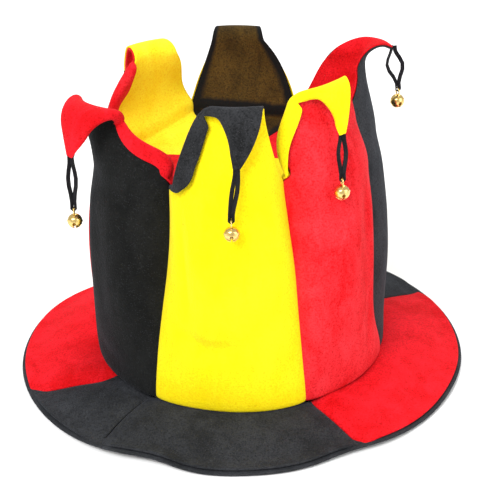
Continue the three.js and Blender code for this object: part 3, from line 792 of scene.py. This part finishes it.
def brimPoint(piece, x, y, inset, base):
    # x runs from one seam to the other, y from the edge in to the crown
    share = 1 - y
    across = (x + 1) / 2
    azimuth = between(between(piece["inner"][0], piece["inner"][1], across),
                      between(piece["outer"][0], piece["outer"][1], across), share)
    radius = between(brimInner, brimEdge(azimuth) - inset, share)
    angle = math.radians(azimuth)
    point = Vector((radius * math.sin(angle), -radius * math.cos(angle), brimUnder(radius, azimuth) + base))
    if base:
        width = math.radians(piece["inner"][1] - piece["inner"][0]) * radius / 2
        away = (1 - abs(x)) * width
        fade = min(1, (1 - share) * brim["fadeRate"])
        point.z -= brim["seamDip"] * math.exp(-(away / brim["seamWidth"]) ** 2)
        point.z += brim["puff"] * math.sin(math.pi * share) * fade
        point.z += noise.noise(point * brim["rippleScale"]) * brim["ripple"] * fade
    return point


def brimCloth():
    base = brim["felt"] + brim["layerGap"]
    for row in brimPieces:
        columns = round((row["inner"][1] - row["inner"][0]) / brim["step"])
        bm = gridOf(columns, brim["rings"],
                    lambda x, y: brimPoint(row, x, y, brim["edgeStep"], base), 0)
        piece = placed(f"velour_brim_{row['name']}", bm, row["colour"], [f"brim_top_{row['name']}"])
        roundedCloth(piece, brim["felt"], 1)
    whole = {"inner": (0, 360), "outer": (0, 360)}
    bm = gridOf(round(360 / brim["step"]), brim["rings"], lambda x, y: brimPoint(whole, x, y, 0, 0), 0)
    # painted light: the underside uses the same lighter copy of the black
    piece = placed("velour_brim_underside", bm, "faded black", ["brim_underside"])
    roundedCloth(piece, brim["felt"], 1)
    print("brim made")


# Ribbon loops and bells. A loop has a frame of its own: x across its plane, y along it,
# z up, from the petal's tip. Azimuth is the way of y.

ribbon = {"width": 0.0029, "thickness": 0.0007, "bend": 0.00125, "seat": 0.0002, "sides": 10, "turn": 72,
          "lap": 0.0006, "closed": 1.1, "narrowing": 1.15, "meet": 0.86, "turnRate": 12, "turnStart": 1.5}
bell = {"diameter": 0.0095, "wall": 0.0007, "slot": 0.0011, "slotLength": 0.0078, "bore": 0.0038,
        "wire": 0.0009, "wireOut": 0.45, "ridge": 0.00035, "ridgeSpread": 0.09, "holePlace": 0.003,
        "tilt": -38}

loops = [
    {"drop": 0.0374, "open": 0.003, "azimuth": 0, "x": 0.0084, "y": -0.004, "lead": 0},
    {"drop": 0.033, "open": 0.0045, "azimuth": 10, "x": 0.0105, "y": -0.0024, "lead": 0},
    {"drop": 0.0392, "open": 0.011, "azimuth": 20, "x": 0, "y": 0.0058, "lead": 0.0015},
    {"drop": 0.041, "open": 0.005, "azimuth": 175, "x": 0.0115, "y": 0, "lead": 0},
    {"drop": 0.041, "open": 0.005, "azimuth": 235, "x": 0.0175, "y": 0, "lead": 0},
    {"drop": 0.0435, "open": 0.005, "azimuth": 0, "x": 0, "y": -0.0008, "lead": 0},
]
strandShares = (-0.03, 0.08, 0.15, 0.27, 0.4, 0.55, 0.7, 0.85)
bendPlaces = ((1, 1), (0.92, 0.6), (0.7, 0.3), (0.38, 0.08))  # width and height, as shares of the bend
loopMiddle = bell["diameter"] / 2 + bell["bore"] / 2 + bell["wire"] * bell["wireOut"]


def loopMatrix(index):
    row = petals[index]
    tip = panelMatrix(index) @ flapPoint(row, 0, 1 + hat["gap"] / (petal["length"] * row["length"]))
    azimuth = math.radians(loops[index]["azimuth"])
    along = Vector((math.cos(azimuth), math.sin(azimuth), 0))
    across = along.cross(Vector((0, 0, 1)))
    matrix = Matrix((across, along, Vector((0, 0, 1)))).transposed().to_4x4()
    matrix.translation = tip
    return matrix


def ribbonPath(loop):
    ring = Vector((loop["x"], loop["y"], loopMiddle + ribbon["seat"] - loop["drop"]))
    strand = []
    for share in strandShares:
        wide = math.sin(math.pi * min(1, share * ribbon["narrowing"])) ** 2
        apart = between(ribbon["thickness"] * ribbon["closed"], loop["open"] / 2, wide)
        if share > ribbon["meet"]:
            apart = ribbon["bend"]
        way = share * share * (3 - 2 * share)
        strand.append((apart, ring.x * way, between(loop["lead"], ring.y, way),
                       between(0, ring.z + ribbon["bend"], share)))
    for width, height in bendPlaces:
        strand.append((ribbon["bend"] * width, ring.x, ring.y, ring.z + ribbon["bend"] * height))
    # one strand lies in front of the other where they lap
    laps = [ribbon["lap"] * min(1, max(0, (len(strand) - i) / 4 - 1)) for i in range(len(strand))]
    down = [Vector((x - lap, y - apart, z)) for lap, (apart, x, y, z) in zip(laps, strand)]
    up = [Vector((x + lap, y + apart, z)) for lap, (apart, x, y, z) in zip(laps, strand)]
    up.reverse()
    return down + [ring] + up


def ribbonPiece(index):
    name = petals[index]["name"]
    loop = loops[index]
    path = ribbonPath(loop)
    matrix = loopMatrix(index)
    bm = bmesh.new()
    weave = bm.loops.layers.uv.new("weave")
    count = len(path)
    bmesh.ops.create_circle(bm, cap_ends=True, segments=ribbon["sides"], radius=1)
    shape = [vert.co.copy() for vert in bm.verts]
    ring = list(bm.verts)
    edges = list(bm.edges)
    run = 0
    runs = {}
    for i, point in enumerate(path):
        if i:
            made = bmesh.ops.extrude_edge_only(bm, edges=edges)["geom"]
            ring = [part for part in made if isinstance(part, bmesh.types.BMVert)]
            edges = [part for part in made if isinstance(part, bmesh.types.BMEdge)
                     and all(vert in ring for vert in part.verts)]
            run += (point - path[i - 1]).length
        ahead = path[min(i + 1, count - 1)] - path[max(i - 1, 0)]
        flat = ahead.cross(Vector((1, 0, 0))).normalized()
        # flat to the front along its strands, turned where it goes through the bell's loop
        fromMiddle = abs(i / (count - 1) - 0.5) * ribbon["turnRate"] - ribbon["turnStart"]
        turn = math.radians(ribbon["turn"]) * min(1, max(0, fromMiddle))
        wide = Vector((1, 0, 0)) * math.cos(turn) + flat * math.sin(turn)
        thin = flat * math.cos(turn) - Vector((1, 0, 0)) * math.sin(turn)
        for vert, base in zip(ring, shape):
            vert.co = point + wide * (base.x * ribbon["width"] / 2)
            vert.co += thin * (base.y * ribbon["thickness"] / 2)
            runs[vert] = (math.atan2(base.y, base.x) / math.tau, run / ribbon["width"])
    bmesh.ops.contextual_create(bm, geom=edges)
    for face in bm.faces:
        for corner in face.loops:
            corner[weave].uv = runs[corner.vert]
    bmesh.ops.recalc_face_normals(bm, faces=bm.faces)
    bm.transform(matrix)
    piece = placed(f"satin_loop_{name}", bm, "ribbon", [f"ribbon_loop_{name}"])
    return piece, [matrix @ point for point in path]


def bellMesh():
    # half an outline spun round, with a raised ridge where the two halves meet
    radius = bell["diameter"] / 2
    bm = bmesh.new()
    steps = 20
    verts = []
    for i in range(steps + 1):
        angle = math.pi * i / steps
        reach = radius + bell["ridge"] * math.exp(-((angle - math.pi / 2) / bell["ridgeSpread"]) ** 2)
        verts.append(bm.verts.new((reach * math.sin(angle), 0, reach * math.cos(angle))))
    for a, b in zip(verts, verts[1:]):
        bm.edges.new((a, b))
    bmesh.ops.spin(bm, geom=list(bm.verts) + list(bm.edges), cent=(0, 0, 0), axis=(0, 0, 1),
                   angle=math.tau, steps=32, use_merge=True)
    bmesh.ops.remove_doubles(bm, verts=bm.verts, dist=1e-6)
    bmesh.ops.recalc_face_normals(bm, faces=bm.faces)
    return bm


def slotCutters():
    bm = bmesh.new()
    for turn in (0, math.pi / 2):
        made = bmesh.ops.create_cube(bm, size=1)["verts"]
        size = (bell["slot"], bell["slotLength"], bell["diameter"] / 2)
        bmesh.ops.scale(bm, vec=size, verts=made)
        bmesh.ops.translate(bm, vec=(0, 0, -bell["diameter"] / 2), verts=made)
        bmesh.ops.rotate(bm, cent=(0, 0, 0), matrix=Matrix.Rotation(turn, 3, "Z"), verts=made)
        for end in (-1, 1):
            hole = bmesh.ops.create_cone(bm, cap_ends=True, segments=16, radius1=bell["slot"],
                                         radius2=bell["slot"], depth=bell["diameter"])["verts"]
            bmesh.ops.translate(bm, vec=(0, end * bell["holePlace"], -bell["diameter"] / 2), verts=hole)
            bmesh.ops.rotate(bm, cent=(0, 0, 0), matrix=Matrix.Rotation(turn, 3, "Z"), verts=hole)
    return bm


def temporary(name, bm):
    mesh = bpy.data.meshes.new(name)
    bm.to_mesh(mesh)
    bm.free()
    made = bpy.data.objects.new(name, mesh)
    bpy.context.scene.collection.objects.link(made)
    return made


def applied(piece):
    graph = bpy.context.evaluated_depsgraph_get()
    mesh = bpy.data.meshes.new_from_object(piece.evaluated_get(graph))
    bm = bmesh.new()
    bm.from_mesh(mesh)
    bpy.data.meshes.remove(mesh)
    return bm


def bellShape():
    ball = temporary("ball", bellMesh())
    cutter = temporary("cutter", slotCutters())
    wall = ball.modifiers.new("wall", "SOLIDIFY")
    wall.thickness = bell["wall"]
    wall.offset = -1
    cut = ball.modifiers.new("slots", "BOOLEAN")
    cut.object = cutter
    cut.solver = "EXACT"
    cut.use_self = True
    bm = applied(ball)
    bmesh.ops.rotate(bm, cent=(0, 0, 0), matrix=Matrix.Rotation(math.radians(bell["tilt"]), 3, "Y"),
                     verts=bm.verts)
    made = bmesh.ops.create_circle(bm, segments=10, radius=bell["wire"] / 2)["verts"]
    bmesh.ops.rotate(bm, cent=(0, 0, 0), matrix=Matrix.Rotation(math.pi / 2, 3, "Y"), verts=made)
    bmesh.ops.translate(bm, vec=(0, 0, loopMiddle + bell["bore"] / 2 + bell["wire"] / 2), verts=made)
    wire = [edge for edge in bm.edges if all(vert in made for vert in edge.verts)]
    bmesh.ops.spin(bm, geom=made + wire, cent=(0, 0, loopMiddle), axis=(0, 1, 0),
                   angle=math.tau, steps=24, use_merge=True)
    for spare in (ball, cutter):
        bpy.data.objects.remove(spare)
    return bm


def ribbonsAndBells():
    shape = bellShape()
    bmesh.ops.recalc_face_normals(shape, faces=shape.faces)
    for index, row in enumerate(petals):
        loop = loops[index]
        bm = shape.copy()
        bm.transform(loopMatrix(index) @ Matrix.Translation((loop["x"], loop["y"], -loop["drop"])))
        jingle = placed(f"jingle_bell_{row['name']}", bm, "brass", [f"bell_{row['name']}"])
        strip, path = ribbonPiece(index)
        length = sum((b - a).length for a, b in zip(path, path[1:]))
    shape.free()
    print("ribbons and bells made")


# Studio: pale floor, soft light from above and both sides

studio = {
    "floor": 3.0,
    "world": 0.62,
    "lights": [
        {"name": "key", "place": (-0.55, -1.0, 1.25), "size": 0.8, "power": 24},
        {"name": "fill", "place": (1.2, -0.7, 0.7), "size": 1.0, "power": 9},
        {"name": "back", "place": (0.3, 1.1, 1.3), "size": 0.9, "power": 14},
    ],
}


def cameraSetUp():
    data = bpy.data.cameras.new("camera")
    made = bpy.data.objects.new("camera", data)
    bpy.context.scene.collection.objects.link(made)
    place, aim = Vector(camera["place"]), Vector(camera["aim"])
    turn = (aim - place).to_track_quat("-Z", "Y").to_matrix().to_4x4()
    roll = Matrix.Rotation(math.radians(camera["roll"]), 4, "Z")
    made.matrix_world = Matrix.Translation(place) @ turn @ roll
    data.sensor_fit = "HORIZONTAL"
    data.sensor_width = 36
    data.lens = camera["focalPixels"] / camera["imageWidth"] * data.sensor_width
    bpy.context.scene.camera = made


def studioSetUp():
    bm = bmesh.new()
    bmesh.ops.create_grid(bm, x_segments=1, y_segments=1, size=studio["floor"])
    bmesh.ops.translate(bm, vec=(0, 0, -0.0003), verts=bm.verts)
    floor = temporary("floor", bm)
    material, start, surface = newMaterial("pale_floor", {"Roughness": 0.8, "Specular IOR Level": 0.2})
    surface.inputs["Base Color"].default_value = (0.93, 0.93, 0.93, 1)
    floor.data.materials.append(material)
    world = bpy.data.worlds.new("studio")
    world.use_nodes = True
    world.node_tree.nodes["Background"].inputs["Color"].default_value = (1, 1, 1, 1)
    world.node_tree.nodes["Background"].inputs["Strength"].default_value = studio["world"]
    bpy.context.scene.world = world
    for row in studio["lights"]:
        lamp = bpy.data.lights.new(row["name"], "AREA")
        lamp.size = row["size"]
        lamp.energy = row["power"]
        made = bpy.data.objects.new(row["name"], lamp)
        bpy.context.scene.collection.objects.link(made)
        place = Vector(row["place"])
        turn = (-place).to_track_quat("-Z", "Y").to_matrix().to_4x4()
        made.matrix_world = Matrix.Translation(place) @ turn
    bpy.context.scene.view_settings.view_transform = "Standard"


cameraSetUp()
ribbonsAndBells()
crownPanels()
petalLinings()
brimCloth()
studioSetUp()
